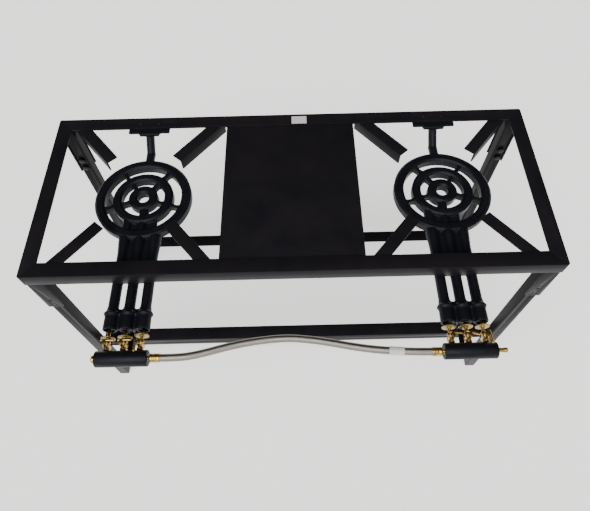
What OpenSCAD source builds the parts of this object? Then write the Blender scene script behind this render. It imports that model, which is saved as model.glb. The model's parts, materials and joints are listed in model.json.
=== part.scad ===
// Two-burner gas stand: welded angle-iron frame on bolted legs, two cast-iron three-ring
// burners with brass taps, two manifolds and a braided hose between them.
// Millimetres, +Z up. The origin lies on the floor, in the middle of the stand's outline,
// with the gas taps at the front (-Y).

/* [Stand] */
// Overall width of the frame
stand_w = 1000; // [850:1:1300]
// Depth of the frame, front face to back face
stand_d = 387; // [340:1:480]
// Height from the floor to the top of the frame
stand_h = 590; // [520:1:750]
// Leg length of the frame's angle iron
rail_size = 30; // [28:0.5:38]
// Thickness of the frame's angle iron
rail_t = 3; // [2:0.5:4]
// Radius ground on the frame's outer corners
corner_r = 4; // [1:0.5:8]

/* [Centre plate] */
// Width of the sheet between the two openings
plate_w = 271; // [180:1:320]
// Thickness of the sheet
plate_t = 2; // [1:0.5:3]

/* [Pot supports] */
// Leg length of the pot supports' angle iron
arm_size = 25; // [18:1:30]
// Thickness of the pot supports' angle iron
arm_t = 3; // [2:0.5:4]
// Direction of the pot supports, from the X axis
arm_angle = 50; // [47:1:55]
// Radius left clear between the ends of the pot supports
arm_clear_r = 105; // [80:1:125]

/* [Legs] */
// Outside width of the square leg tube
leg_size = 25; // [20:1:30]
// Wall of the leg tube
leg_wall = 2; // [1.5:0.5:3]
// Corner radius of the leg tube
leg_r = 2.5; // [1:0.5:4]
// Leg length of the corner brackets' angle iron
bracket_size = 30; // [25:1:36]
// Length of the corner brackets below the top flange
bracket_len = 130; // [110:1:160]
// Distance from the top of the frame to the lower leg bolt
leg_bolt_drop = 120; // [105:1:125]
// Distance between the two bolts of a leg
leg_bolt_pitch = 25; // [18:1:35]
// Thread diameter of the leg and lower-rail bolts
bolt_d = 8; // [6:0.5:10]

/* [Lower rails] */
// Leg length of the lower rails' angle iron
lower_size = 32; // [27:1:40]
// Thickness of the lower rails' angle iron
lower_t = 3; // [2:0.5:4]
// Distance from the top of the frame to the top of the lower rails
lower_drop = 423; // [300:1:455]
// Distance of each lower rail's end from the side of the frame
lower_inset = 12; // [5:1:14]
// Height of the welded nut that spaces a lower rail off its leg
spacer_h = 7; // [5:0.5:10]

/* [Burners] */
// Outward shift of each burner from the middle of its opening
burner_shift = 2.25; // [0:0.25:6]
// Shift of both burners and the gas line towards the right
burner_offset = 2.5; // [0:0.25:5]
// Outward shift of the rings from the middle mixing tube
ring_shift = 4; // [0:0.5:5]
// Backward shift of each burner from the middle of the frame
burner_set_back = 9.5; // [0:0.5:14]
// Distance from the top of the frame down to the burner's top face
burner_drop = 38; // [32:0.5:46]
// Outside radius of the outer ring
burner_r = 99; // [85:0.5:119]
// Width of the outer ring
outer_ring_w = 20; // [16:0.5:24]
// Outside radius of the middle ring
middle_ring_r = 62; // [52:0.5:66]
// Width of the middle ring
middle_ring_w = 18; // [14:0.5:20]
// Outside radius of the inner ring
inner_ring_r = 30; // [25:0.5:34]
// Radius of the hole in the middle of the burner
eye_r = 12; // [8:0.5:14]
// Height of the rings
ring_h = 20; // [16:0.5:24]
// Wall of the casting round its gas channels
cast_wall = 3.5; // [2.5:0.5:4]
// Width of the webs between the rings
web_w = 8; // [5:0.5:11]
// Diameter of the rear stem
stem_d = 19; // [13:0.5:20]

/* [Rear hanger] */
// Width of the hanger plate under the back rail
hanger_w = 88; // [75:1:110]
// Width of the thick middle of the hanger plate
hanger_core_w = 56; // [35:1:64]
// Distance between the two hanger bolts
hanger_pitch = 39; // [30:1:46]
// Thread diameter of the hanger and front clip bolts
small_bolt_d = 6; // [4:0.5:7]

/* [Mixing tubes] */
// Distance from the top of the frame down to the tubes' axis
tube_drop = 50; // [48:0.5:58]
// Outside diameter of the tubes
tube_d = 20; // [18:0.5:22]
// Bore of the tubes
tube_bore = 13; // [8:0.5:14]
// Distance between neighbouring tubes
tube_pitch = 30; // [28:0.5:36]
// Diameter of the collars round the air mouths
collar_d = 26; // [24:0.5:27.5]
// Diameter of the bead behind each collar
bead_d = 31; // [29:0.5:33]
// Bore of the air mouths
mouth_bore = 20; // [16:0.5:22]
// Distance of the air mouths in front of the frame
mouth_reach = 87; // [75:1:105]
// Distance from the air mouths back to the bead
collar_len = 32; // [24:1:40]

/* [Manifolds] */
// Diameter of the manifolds
manifold_d = 29; // [25:0.5:30]
// Length of the manifolds
manifold_len = 92; // [88:1:110]
// Distance of the manifolds' axis behind which the air mouths lie
manifold_gap = 52; // [51:1:60]
// Bore of the manifolds and of their end threads
manifold_bore = 10; // [8:0.5:12]
// Width of the strap between a burner and its manifold
strap_w = 8.5; // [6:0.5:10]
// Shift of the strap from the burner's centre line towards the middle of the stand
strap_shift = 5.5; // [0:0.5:8]

/* [Taps and shutters] */
// Distance of the taps' plugs in front of the air mouths
plug_ahead = 28; // [27.5:0.5:29]
// Diameter of the tapered plugs
plug_d = 7; // [5:0.5:8]
// Diameter of the jets' thread
jet_d = 6; // [4.5:0.5:7]
// Diameter of the air shutters
shutter_d = 25.5; // [22:0.5:27]
// Gap from the right burner's shutters to their air mouths at rest
shutter_gap = 6.5; // [4:0.5:6.5]
// Length of a tap lever in front of its plug
lever_len = 16; // [12:0.5:16]

/* [Gas line] */
// Diameter of the braided hose
hose_d = 14; // [11:0.5:17]
// Length of the hose ferrules
ferrule_len = 18; // [14:1:22]
// Outside diameter of the inlet's hose barb
barb_d = 8; // [6:0.5:10]
// Outside diameter of the bulge at the end of the hose barb
barb_bulge_d = 9.2; // [8:0.1:12]
// Length of the straight part of the hose barb
barb_len = 12; // [8:1:20]

/* [Hidden] */
$fn = 48;
thread_gap = 0.05;
hole_gap = 0.25;
running_gap = 0.05;
hex_ratio = 2 / sqrt(3);

mouth_y = -mouth_reach;
manifold_y = mouth_y - manifold_gap;
manifold_front = -manifold_y + manifold_d / 2;
front_y = (manifold_front - stand_d) / 2;
top_z = stand_h;

opening_x = (plate_w / 2 + stand_w / 2 - rail_size) / 2;
burner_x = opening_x + burner_shift;
burner_y = stand_d / 2 + burner_set_back;
leg_inset = 2 * rail_t;
leg_centre = leg_inset + leg_size / 2;
leg_inner = leg_inset + leg_size;
lower_face = leg_inner + spacer_h;
lower_bolt_z = -lower_drop - lower_t - (lower_size - lower_t) / 2;

head_h = 0.65 * bolt_d;
head_af = 1.6 * bolt_d;
small_head_h = 2.5;
small_head_d = 1.8 * small_bolt_d;
small_nut_h = 0.8 * small_bolt_d;
small_nut_af = 1.65 * small_bolt_d;

hanger_t = 5;
hanger_core_t = 8;
hanger_front = stand_d - rail_size - 10;
hanger_core_front = stand_d - rail_size - 15;
hanger_bolt_y = stand_d - rail_size / 2;

clip_w = 60;
clip_t = 3;
clip_depth = rail_size - 2;
clip_z = -tube_drop + tube_d / 2;
clip_bolt_y = 18;
bridge_t = 8;
bridge_front = 11;
slot_end = mouth_y + collar_len + 10;
tube_root = burner_y - burner_r + 8;

lug_z = -tube_drop - manifold_d / 2 - 3;
strap_t = 4;
strap_front = manifold_y - 8;
strap_back = mouth_y + 22;
strap_screw_d = 5;
strap_screw_y = [manifold_y, mouth_y + 13];

plug_y = mouth_y - plug_ahead;
valve_tail_d = 8;
valve_barrel_d = 9;
valve_boss_d = 11;
valve_hex_af = 10.5;
valve_outlet = mouth_y - 19;
valve_seat = manifold_y + manifold_d / 2 + 1;
lever_z = -tube_drop + 16;
lever_d = 4.8;
lever_offset = 5;
lever_back = 6;
shutter_t = 1.5;
shutter_hub_d = 10;
shutter_hub_l = 3.5;

fitting_neck_l = 3;
fitting_neck_d = 8;
ferrule_d = hose_d + 2;
thread_depth = 8;
hose_end_x = burner_x - manifold_len / 2 - fitting_neck_l - ferrule_len;

// Direction of each tap lever at rest, in degrees from +X, and the hand of its offset.
lever_rest = [[0, 0, -94], [-7, -19, -86]];
lever_hand = [[1, 1, -1], [1, 1, 1]];
// How much further than shutter_gap each shutter stands off its air mouth at rest.
shutter_back = [[7, 5.5, 2.5], [0, 0, 0]];

// Route of the hose between the ferrules: X from midway between the burners, then Y and Z
// from the manifolds' axis. X is stretched to meet the ferrules.
HOSE_ROUTE = [
    [-238, 0, 0], [-217, 0, 0], [-190, 2, -1], [-160, 9, -4], [-125, 19, -7],
    [-90, 27, -9], [-50, 33, -11], [-10, 35, -12], [30, 31, -12], [65, 24, -10],
    [100, 16, -8], [135, 9, -5], [170, 4, -2], [206, 1, 0], [238, 0, 0]
];
HOSE_SIDES = 12;

black_paint = "#1b1b1f";
cast_black = "#20242a";
brass = "#c39a45";
pale_brass = "#b9ad80";
black_zinc = "#2c2d31";
steel_braid = "#9a9692";

// ---- Frames of reference ----

// Y runs back from the frame's front face, Z down from its top.
module at_frame() {
    translate([0, front_y, top_z]) children();
}

// The same, with X from the middle of one burner. side is -1 for the left one.
module at_burner(side) {
    at_frame() translate([side * burner_x + burner_offset, 0, 0]) children();
}

module at_strap(side) {
    translate([-side * strap_shift, 0, 0]) children();
}

// A corner of the frame, mirrored so that its two outer faces are X = 0 and Y = 0.
module at_corner(side, end) {
    at_frame()
        translate([side * stand_w / 2, end < 0 ? 0 : stand_d, 0])
            scale([-side, -end, 1]) children();
}

// ---- Shared shapes ----

module rod_y(d, from, to) {
    translate([0, from, 0]) rotate([-90, 0, 0]) cylinder(d = d, h = to - from);
}

module cone_y(d1, d2, from, to) {
    translate([0, from, 0]) rotate([-90, 0, 0]) cylinder(d1 = d1, d2 = d2, h = to - from);
}

module hex_y(af, from, to) {
    translate([0, from, 0]) rotate([-90, 30, 0])
        cylinder(d = af * hex_ratio, h = to - from, $fn = 6);
}

module rod_x(d, from, to) {
    translate([from, 0, 0]) rotate([0, 90, 0]) cylinder(d = d, h = to - from);
}

module hex_x(af, from, to) {
    translate([from, 0, 0]) rotate([0, 90, 0]) cylinder(d = af * hex_ratio, h = to - from, $fn = 6);
}

module round_rect(w, d, r) {
    square([w - 2 * r, d], center = true);
    square([w, d - 2 * r], center = true);
    for (x = [-1, 1], y = [-1, 1])
        translate([x * (w / 2 - r), y * (d / 2 - r)]) circle(r = r);
}

module tube_between(a, b, d) {
    run = b - a;
    turn = atan2(norm([run[0], run[1]]), run[2]);
    translate(a) rotate([0, 0, atan2(run[1], run[0])]) rotate([0, turn, 0])
        cylinder(d = d, h = norm(run));
}

// Angle iron along +X with its outer faces on Y = 0 (upright) and Z = 0 (flat).
module angle_iron(length, size, t) {
    translate([0, 0, -t]) cube([length, size, t]);
    translate([0, 0, -size]) cube([length, t, size]);
}

// ---- Frame ----

// A mitred rail as seen from its outer side: length along X, outer face on Y = 0.
module mitred_rail(length) {
    half = length / 2;
    translate([0, 0, -rail_t]) linear_extrude(rail_t)
        polygon([[-half, 0], [half, 0], [half - rail_size, rail_size],
                 [rail_size - half, rail_size]]);
    translate([0, 0, -rail_size]) linear_extrude(rail_size)
        polygon([[-half, 0], [half, 0], [half - rail_t, rail_t], [rail_t - half, rail_t]]);
}

module frame_outline() {
    translate([0, stand_d / 2, -rail_size - 1])
        linear_extrude(rail_size + 2) round_rect(stand_w, stand_d, corner_r);
}

module front_rail() {
    color(black_paint) at_frame() intersection() {
        mitred_rail(stand_w);
        frame_outline();
    }
}

module back_rail() {
    color(black_paint) at_frame() difference() {
        intersection() {
            translate([0, stand_d, 0]) mirror([0, 1, 0]) mitred_rail(stand_w);
            frame_outline();
        }
        for (side = [-1, 1], s = [-1, 1])
            translate([side * burner_x + burner_offset + s * hanger_pitch / 2, hanger_bolt_y,
                       -rail_t - 1])
                cylinder(d = small_bolt_d + 2 * hole_gap, h = rail_t + 2);
    }
}

module side_rail(side) {
    color(black_paint) at_frame() intersection() {
        translate([side * stand_w / 2, stand_d / 2, 0])
            rotate([0, 0, side * 90]) mitred_rail(stand_d);
        frame_outline();
    }
}

module centre_plate() {
    color(black_paint) at_frame()
        translate([-plate_w / 2, rail_t, -rail_t - plate_t])
            cube([plate_w, stand_d - 2 * rail_t, plate_t]);
}

// One pot support: side and end choose the opening and the front or back, out is 1 towards
// the side rail and -1 towards the centre plate.
module pot_support(side, end, out) {
    half = arm_size / 2;
    run = (stand_d / 2 - rail_t - half * cos(arm_angle)) / sin(arm_angle) - arm_clear_r;
    color(black_paint) at_frame()
        translate([side * opening_x, stand_d / 2, -rail_t])
            scale([side * out, end, 1])
                rotate([0, 0, arm_angle])
                    translate([arm_clear_r, -half, 0])
                        angle_iron(run, arm_size, arm_t);
}

// ---- Legs ----

module leg_bolt_holes(d) {
    for (drop = [leg_bolt_drop - leg_bolt_pitch, leg_bolt_drop])
        translate([leg_centre, 0, -drop]) rod_y(d, -1, leg_inner + 1);
}

module corner_bracket(side, end) {
    color(black_paint) at_corner(side, end) difference() {
        translate([rail_t, rail_t, -rail_t - bracket_len]) {
            cube([bracket_size, rail_t, bracket_len]);
            cube([rail_t, bracket_size, bracket_len]);
        }
        leg_bolt_holes(bolt_d + 2 * thread_gap);
    }
}

module leg(side, end) {
    color(black_paint) at_corner(side, end) difference() {
        translate([leg_centre, leg_centre, -stand_h]) linear_extrude(stand_h - rail_t)
            difference() {
                round_rect(leg_size, leg_size, leg_r);
                square(leg_size - 2 * leg_wall, center = true);
            }
        leg_bolt_holes(bolt_d + 2 * hole_gap);
        translate([leg_centre, leg_centre, lower_bolt_z])
            rod_y(bolt_d + 2 * hole_gap, 0, leg_size);
    }
}

module leg_bolts() {
    color(black_zinc) for (side = [-1, 1], end = [-1, 1]) at_corner(side, end)
        for (drop = [leg_bolt_drop - leg_bolt_pitch, leg_bolt_drop])
            translate([leg_centre, 0, -drop]) {
                rod_y(bolt_d, rail_t, leg_inner + head_h / 2);
                hex_y(head_af, leg_inner, leg_inner + head_h);
            }
}

// ---- Lower rails ----

module lower_rail(end) {
    length = stand_w - 2 * lower_inset;
    color(black_paint) at_frame()
        translate([0, end < 0 ? 0 : stand_d, 0]) scale([1, -end, 1]) difference() {
            translate([-length / 2, lower_face, -lower_drop])
                angle_iron(length, lower_size, lower_t);
            for (side = [-1, 1])
                translate([side * (stand_w / 2 - leg_centre), 0, lower_bolt_z])
                    rod_y(bolt_d + 2 * hole_gap, lower_face - 1, lower_face + lower_t + 1);
        }
}

module lower_rail_bolts() {
    color(black_zinc) for (side = [-1, 1], end = [-1, 1]) at_corner(side, end)
        translate([leg_centre, 0, lower_bolt_z]) {
            rod_y(bolt_d, leg_inner - 2 * leg_wall, lower_face + lower_t + head_h / 2);
            hex_y(head_af, lower_face + lower_t, lower_face + lower_t + head_h);
        }
}

module lower_rail_nuts() {
    color(black_zinc) for (side = [-1, 1], end = [-1, 1]) at_corner(side, end)
        translate([leg_centre, 0, lower_bolt_z]) difference() {
            hex_y(head_af, leg_inner, lower_face);
            rod_y(bolt_d + 2 * thread_gap, leg_inner - 1, lower_face + 1);
        }
}

// ---- Burner castings ----

// A ring with bevelled top edges, standing on Z = -ring_h under its top face.
module ring(r_out, r_in) {
    bevel = 2.5;
    rotate_extrude() polygon([
        [r_in, -ring_h], [r_out, -ring_h], [r_out, -bevel], [r_out - bevel, 0],
        [r_in + bevel, 0], [r_in, -bevel]
    ]);
}

module gas_channel(r_out, r_in) {
    rotate_extrude()
        translate([r_in + cast_wall, cast_wall - ring_h])
            square([r_out - r_in - 2 * cast_wall, ring_h - 2 * cast_wall]);
}

// Distance in front of the burner's centre at which a tube at offset x meets a circle.
function chord_y(x, r) = sqrt(r * r - x * x);

module burner_webs() {
    for (turn = [54, 126, 198, 342]) rotate([0, 0, turn])
        translate([inner_ring_r - 2, -web_w / 2, 1 - ring_h])
            cube([burner_r - outer_ring_w - inner_ring_r + 4, web_w, ring_h - 4.5]);
}

// Tubes: left feeds the middle ring, middle the inner ring, right the outer ring. Each ends
// under the middle of its ring's channel.
function tube_end(side, i) =
    let (r = i < 0 ? middle_ring_r - middle_ring_w / 2
           : i > 0 ? burner_r - outer_ring_w / 2 : (inner_ring_r + eye_r) / 2)
    burner_y - chord_y(i * tube_pitch - side * ring_shift, r);

module mixing_tube(side, i) {
    translate([i * tube_pitch, 0, -tube_drop]) {
        rod_y(tube_d, mouth_y + collar_len, tube_end(side, i));
        cone_y(tube_d, collar_d, tube_root - 45, tube_root);
        cone_y(bead_d, tube_d, mouth_y + collar_len + 2, slot_end + 4);
        rod_y(bead_d, mouth_y + collar_len - 2, mouth_y + collar_len + 2);
        rod_y(collar_d, mouth_y, mouth_y + collar_len);
    }
}

module mixing_bore(side, i) {
    translate([i * tube_pitch, 0, -tube_drop]) {
        rod_y(tube_bore, mouth_y - 1, tube_end(side, i) + 1);
        cone_y(mouth_bore, tube_bore, mouth_y + collar_len - 8, mouth_y + collar_len + 8);
        rod_y(mouth_bore, mouth_y - 1, mouth_y + collar_len - 8);
    }
}

module burner_bridge() {
    translate([-tube_pitch, bridge_front, -tube_drop - bridge_t / 2])
        cube([2 * tube_pitch, tube_root - bridge_front, bridge_t]);
    translate([-tube_pitch, mouth_y + 3, -tube_drop - bridge_t / 2])
        cube([2 * tube_pitch, slot_end - mouth_y - 3, bridge_t]);
}

module rear_hanger(side) {
    stem_z = -burner_drop - ring_h / 2;
    kink = [side * ring_shift / 2, burner_y + burner_r + 20, stem_z + 4];
    tip = [0, stand_d - rail_size - 6, -rail_t - hanger_core_t / 2 - 1];
    intersection() {
        union() {
            tube_between([side * ring_shift, burner_y + burner_r - 8, stem_z], kink, stem_d);
            translate(kink) rotate([90, 0, 0]) sphere(d = stem_d + 1);
            tube_between(kink, tip, stem_d);
        }
        translate([-2 * stem_d, 0, -rail_t - 90]) cube([4 * stem_d, stand_d, 90]);
    }
    translate([-hanger_core_w / 2, hanger_core_front, -rail_t - hanger_core_t])
        cube([hanger_core_w, stand_d - rail_size - hanger_core_front, hanger_core_t]);
    translate([-hanger_w / 2, hanger_front, -rail_t - hanger_t])
        cube([hanger_w, stand_d - rail_t - hanger_front, hanger_t]);
}

module burner(side) {
    color(cast_black) at_burner(side) difference() {
        union() {
            difference() {
                translate([side * ring_shift, burner_y, -burner_drop]) {
                    ring(burner_r, burner_r - outer_ring_w);
                    ring(middle_ring_r, middle_ring_r - middle_ring_w);
                    ring(inner_ring_r, eye_r);
                    burner_webs();
                }
                translate([side * ring_shift, burner_y, -burner_drop]) {
                    gas_channel(burner_r, burner_r - outer_ring_w);
                    gas_channel(middle_ring_r, middle_ring_r - middle_ring_w);
                    gas_channel(inner_ring_r, eye_r);
                }
            }
            for (i = [-1, 0, 1]) mixing_tube(side, i);
            burner_bridge();
            rear_hanger(side);
            at_strap(side) translate([-strap_w / 2 - 1, mouth_y + 2, lug_z])
                cube([strap_w + 2, strap_back - mouth_y - 2, -tube_drop - lug_z]);
        }
        for (i = [-1, 0, 1]) mixing_bore(side, i);
        for (s = [-1, 1]) {
            translate([s * hanger_pitch / 2, hanger_bolt_y, -rail_t - hanger_t - 1])
                cylinder(d = small_bolt_d + 2 * hole_gap, h = hanger_t + 2);
            translate([s * tube_pitch / 2, clip_bolt_y, -tube_drop - bridge_t])
                cylinder(d = small_bolt_d + 2 * hole_gap, h = 2 * bridge_t);
        }
        at_strap(side) translate([0, strap_screw_y[1], lug_z - 1])
            cylinder(d = strap_screw_d + 2 * thread_gap, h = 7);
    }
}

module hanger_bolts() {
    shank = rail_t + hanger_t + small_nut_h + 1;
    color(black_paint) for (side = [-1, 1], s = [-1, 1]) at_burner(side)
        translate([s * hanger_pitch / 2, hanger_bolt_y, 0]) {
            translate([0, 0, -rail_t - hanger_t - small_nut_h - 1])
                cylinder(d = small_bolt_d, h = shank + 1);
            cylinder(d1 = small_head_d, d2 = small_head_d - 4, h = small_head_h);
        }
}

module hanger_nuts() {
    color(black_zinc) for (side = [-1, 1], s = [-1, 1]) at_burner(side)
        translate([s * hanger_pitch / 2, hanger_bolt_y, -rail_t - hanger_t - small_nut_h])
            difference() {
                cylinder(d = small_nut_af * hex_ratio, h = small_nut_h, $fn = 6);
                translate([0, 0, -1])
                    cylinder(d = small_bolt_d + 2 * thread_gap, h = small_nut_h + 2);
            }
}

// ---- Front clips ----

module front_clip(side) {
    color(black_paint) at_burner(side) difference() {
        translate([-clip_w / 2, rail_t, clip_z]) {
            cube([clip_w, clip_t, -clip_z - rail_t]);
            cube([clip_w, clip_depth, clip_t]);
        }
        for (s = [-1, 1]) translate([s * tube_pitch / 2, clip_bolt_y, clip_z - 1])
            cylinder(d = small_bolt_d + 2 * hole_gap, h = clip_t + 2);
    }
}

module clip_bolts() {
    foot = -tube_drop - bridge_t / 2 - small_nut_h;
    color(black_zinc) for (side = [-1, 1], s = [-1, 1]) at_burner(side)
        translate([s * tube_pitch / 2, clip_bolt_y, 0]) {
            translate([0, 0, foot]) cylinder(d = small_bolt_d, h = clip_z + clip_t - foot + 1);
            for (z = [foot, clip_z + clip_t]) translate([0, 0, z]) rotate([0, 0, 30])
                cylinder(d = small_nut_af * hex_ratio, h = small_nut_h, $fn = 6);
        }
}

// ---- Manifolds ----

module manifold(side) {
    half = manifold_len / 2;
    color(cast_black) at_burner(side) difference() {
        union() {
            translate([0, manifold_y, -tube_drop]) {
                rod_x(manifold_d - 1.5, -half, half);
                rod_x(manifold_d, 4 - half, half - 4);
                for (x = [-half + 1, half - 4]) rod_x(manifold_d, x, x + 3);
            }
            for (i = [-1, 0, 1]) translate([i * tube_pitch, 0, -tube_drop])
                rod_y(valve_boss_d + 0.8, manifold_y, valve_seat);
            at_strap(side) translate([-strap_w / 2 - 1, manifold_y - 7, lug_z])
                cube([strap_w + 2, 14, 7]);
        }
        translate([0, manifold_y, -tube_drop])
            rod_x(manifold_bore + 2 * thread_gap, -half - 1, half + 1);
        for (i = [-1, 0, 1]) translate([i * tube_pitch, 0, -tube_drop])
            rod_y(valve_tail_d + 2 * thread_gap, manifold_y, valve_seat + 1);
        at_strap(side) translate([0, strap_screw_y[0], lug_z - 1])
            cylinder(d = strap_screw_d + 2 * thread_gap, h = 7);
    }
}

module strap(side) {
    color(black_paint) at_burner(side) at_strap(side) difference() {
        translate([-strap_w / 2, strap_front, lug_z - strap_t])
            cube([strap_w, strap_back - strap_front, strap_t]);
        for (y = strap_screw_y) translate([0, y, lug_z - strap_t - 1])
            cylinder(d = strap_screw_d + 2 * hole_gap, h = strap_t + 2);
    }
}

module strap_screws() {
    color(black_zinc) for (side = [-1, 1], y = strap_screw_y) at_burner(side)
        at_strap(side) translate([0, y, lug_z - strap_t]) {
            cylinder(d = strap_screw_d, h = strap_t + 5);
            translate([0, 0, -2.5]) cylinder(d1 = 6, d2 = 8.5, h = 2.5);
        }
}

// ---- Taps, jets and shutters ----

module at_valve(side, i) {
    at_burner(side) translate([i * tube_pitch, 0, -tube_drop]) children();
}

module tap_bodies(side) {
    color(brass) for (i = [-1, 0, 1]) at_valve(side, i) difference() {
        union() {
            rod_y(valve_tail_d, manifold_y + manifold_d / 2 - 5, valve_seat + 1);
            hex_y(valve_hex_af, valve_seat, valve_seat + 4);
            rod_y(valve_barrel_d, valve_seat + 1, valve_outlet - 1);
            hex_y(valve_barrel_d + 1, valve_outlet - 4, valve_outlet);
            translate([0, plug_y, -8]) cylinder(d = valve_boss_d, h = 16);
            translate([0, plug_y, 8]) cylinder(d1 = valve_boss_d, d2 = valve_boss_d - 2, h = 1.5);
        }
        rod_y(4, manifold_y, valve_outlet + 1);
        rod_y(jet_d + 2 * thread_gap, valve_outlet - 5, valve_outlet + 1);
        translate([0, plug_y, -9]) cylinder(d = plug_d + 2 * running_gap, h = 20);
    }
}

// The tapered plug with its lever: the lever is offset towards +Y for a lever along X.
module tap_lever(side, i) {
    arm_z = lever_z + tube_drop;
    color(brass) at_valve(side, i) translate([0, plug_y, 0])
        rotate([0, 0, lever_rest[(side + 1) / 2][i + 1]])
        scale([1, -lever_hand[(side + 1) / 2][i + 1], 1]) {
            difference() {
                translate([0, 0, -8.4]) cylinder(d = plug_d, h = arm_z + 8.4);
                rod_x(4, -plug_d, plug_d);
            }
            translate([0, 0, -10]) cylinder(d = plug_d + 2.5, h = 1.6);
            translate([0, 0, 9.9]) cylinder(d = plug_d + 2, h = arm_z + lever_d / 2 - 9.9);
            translate([0, -lever_offset, arm_z]) {
                rod_x(lever_d, -lever_back, lever_len);
                for (end = [[lever_len, 90], [-lever_back, -90]])
                    translate([end[0], 0, 0]) rotate([0, end[1], 0])
                        cylinder(d1 = lever_d, d2 = lever_d - 2, h = 1.4);
            }
            translate([-1.5, -lever_offset, arm_z - 1.5]) cube([3, lever_offset, 3]);
        }
}

module jets(side) {
    color(brass) for (i = [-1, 0, 1]) at_valve(side, i) difference() {
        union() {
            rod_y(jet_d, valve_outlet - 5, mouth_y - 1);
            cone_y(jet_d, jet_d - 2.5, mouth_y - 1, mouth_y + 3);
            hex_y(jet_d + 2.5, valve_outlet, valve_outlet + 1.2);
        }
        rod_y(2, valve_outlet - 6, mouth_y + 4);
    }
}

module air_shutter(side, i) {
    face = mouth_y - shutter_gap - shutter_back[(side + 1) / 2][i + 1];
    color(pale_brass) at_valve(side, i) difference() {
        union() {
            rod_y(shutter_d, face - shutter_t, face);
            rod_y(shutter_hub_d, face - shutter_hub_l, face);
        }
        rod_y(jet_d + 2 * running_gap, face - shutter_hub_l - 1, face + 1);
    }
}

// ---- Gas line ----

module end_plug() {
    left = -manifold_len / 2;
    color(brass) at_burner(-1) translate([0, manifold_y, -tube_drop]) {
        rod_x(manifold_bore, left - 1, left + thread_depth);
        rod_x(manifold_bore + 4, left - 6, left);
        translate([left - 8, 0, 0]) rotate([0, 90, 0])
            cylinder(d1 = manifold_bore, d2 = manifold_bore + 4, h = 2);
    }
}

// A crimped ferrule that screws into the manifold's inner end.
module hose_ferrule(side) {
    color(brass) at_burner(side) translate([0, manifold_y, -tube_drop])
        mirror([side < 0 ? 0 : 1, 0, 0]) translate([manifold_len / 2, 0, 0]) difference() {
            union() {
                rod_x(manifold_bore, -thread_depth, 0);
                rod_x(fitting_neck_d, 0, fitting_neck_l + 1);
                translate([fitting_neck_l, 0, 0]) {
                    rotate([0, 90, 0]) cylinder(d1 = hose_d - 3, d2 = ferrule_d, h = 2);
                    rod_x(ferrule_d - 0.8, 1, ferrule_len);
                    for (x = [2, ferrule_len / 2 - 1, ferrule_len - 5]) rod_x(ferrule_d, x, x + 4);
                }
            }
            rod_x(5, -thread_depth - 1, fitting_neck_l + ferrule_len + 1);
        }
}

module inlet_barb() {
    right = manifold_len / 2;
    neck_end = right + 1.5 + barb_len;
    color(brass) at_burner(1) translate([0, manifold_y, -tube_drop]) difference() {
        union() {
            rod_x(manifold_bore, right - thread_depth, right);
            hex_x(manifold_bore + 1, right, right + 1.5);
            rod_x(barb_d, right + 1.5, neck_end);
            translate([neck_end, 0, 0]) rotate([0, 90, 0]) {
                cylinder(d1 = barb_d, d2 = barb_bulge_d, h = 1);
                translate([0, 0, 1]) cylinder(d = barb_bulge_d, h = 3);
                translate([0, 0, 4]) cylinder(d1 = barb_bulge_d, d2 = barb_d - 1, h = 1.5);
            }
        }
        rod_x(barb_d - 3, right - thread_depth - 1, neck_end + 6);
    }
}

function unit(v) = v / norm(v);

function hose_point(i) =
    let (stretch = hose_end_x / HOSE_ROUTE[len(HOSE_ROUTE) - 1][0])
    [HOSE_ROUTE[i][0] * stretch + burner_offset, HOSE_ROUTE[i][1], HOSE_ROUTE[i][2]];

// The hose's ring of points round route point i, square to the route there.
function hose_ring(i) =
    let (
        last = len(HOSE_ROUTE) - 1,
        run = i == 0 || i == last ? [1, 0, 0] : unit(hose_point(i + 1) - hose_point(i - 1)),
        flat = unit(cross([0, 0, 1], run)),
        up = cross(run, flat)
    )
    [for (k = [0 : HOSE_SIDES - 1])
        let (turn = 360 * k / HOSE_SIDES)
        hose_point(i) + hose_d / 2 * (cos(turn) * flat + sin(turn) * up)];

module braided_hose() {
    count = len(HOSE_ROUTE);
    points = [for (i = [0 : count - 1]) each hose_ring(i)];
    walls = [for (i = [0 : count - 2], k = [0 : HOSE_SIDES - 1])
        let (next = (k + 1) % HOSE_SIDES)
        [i * HOSE_SIDES + k, (i + 1) * HOSE_SIDES + k,
         (i + 1) * HOSE_SIDES + next, i * HOSE_SIDES + next]];
    caps = [
        [for (k = [0 : HOSE_SIDES - 1]) k],
        [for (k = [HOSE_SIDES - 1 : -1 : 0]) (count - 1) * HOSE_SIDES + k]
    ];
    color(steel_braid) at_frame() translate([0, manifold_y, -tube_drop])
        polyhedron(points = points, faces = concat(walls, caps), convexity = 6);
}

front_rail();
back_rail();
side_rail(-1);  // left_rail
side_rail(1);  // right_rail
centre_plate();
pot_support(-1, -1, 1);  // left_support_front_outer
pot_support(-1, -1, -1);  // left_support_front_inner
pot_support(-1, 1, 1);  // left_support_back_outer
pot_support(-1, 1, -1);  // left_support_back_inner
pot_support(1, -1, 1);  // right_support_front_outer
pot_support(1, -1, -1);  // right_support_front_inner
pot_support(1, 1, 1);  // right_support_back_outer
pot_support(1, 1, -1);  // right_support_back_inner
corner_bracket(-1, -1);  // front_left_bracket
corner_bracket(1, -1);  // front_right_bracket
corner_bracket(-1, 1);  // back_left_bracket
corner_bracket(1, 1);  // back_right_bracket
leg(-1, -1);  // front_left_leg
leg(1, -1);  // front_right_leg
leg(-1, 1);  // back_left_leg
leg(1, 1);  // back_right_leg
leg_bolts();
lower_rail(-1);  // lower_front_rail
lower_rail(1);  // lower_back_rail
lower_rail_bolts();
lower_rail_nuts();
burner(-1);  // left_burner
burner(1);  // right_burner
hanger_bolts();
hanger_nuts();
front_clip(-1);  // left_front_clip
front_clip(1);  // right_front_clip
clip_bolts();
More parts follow.
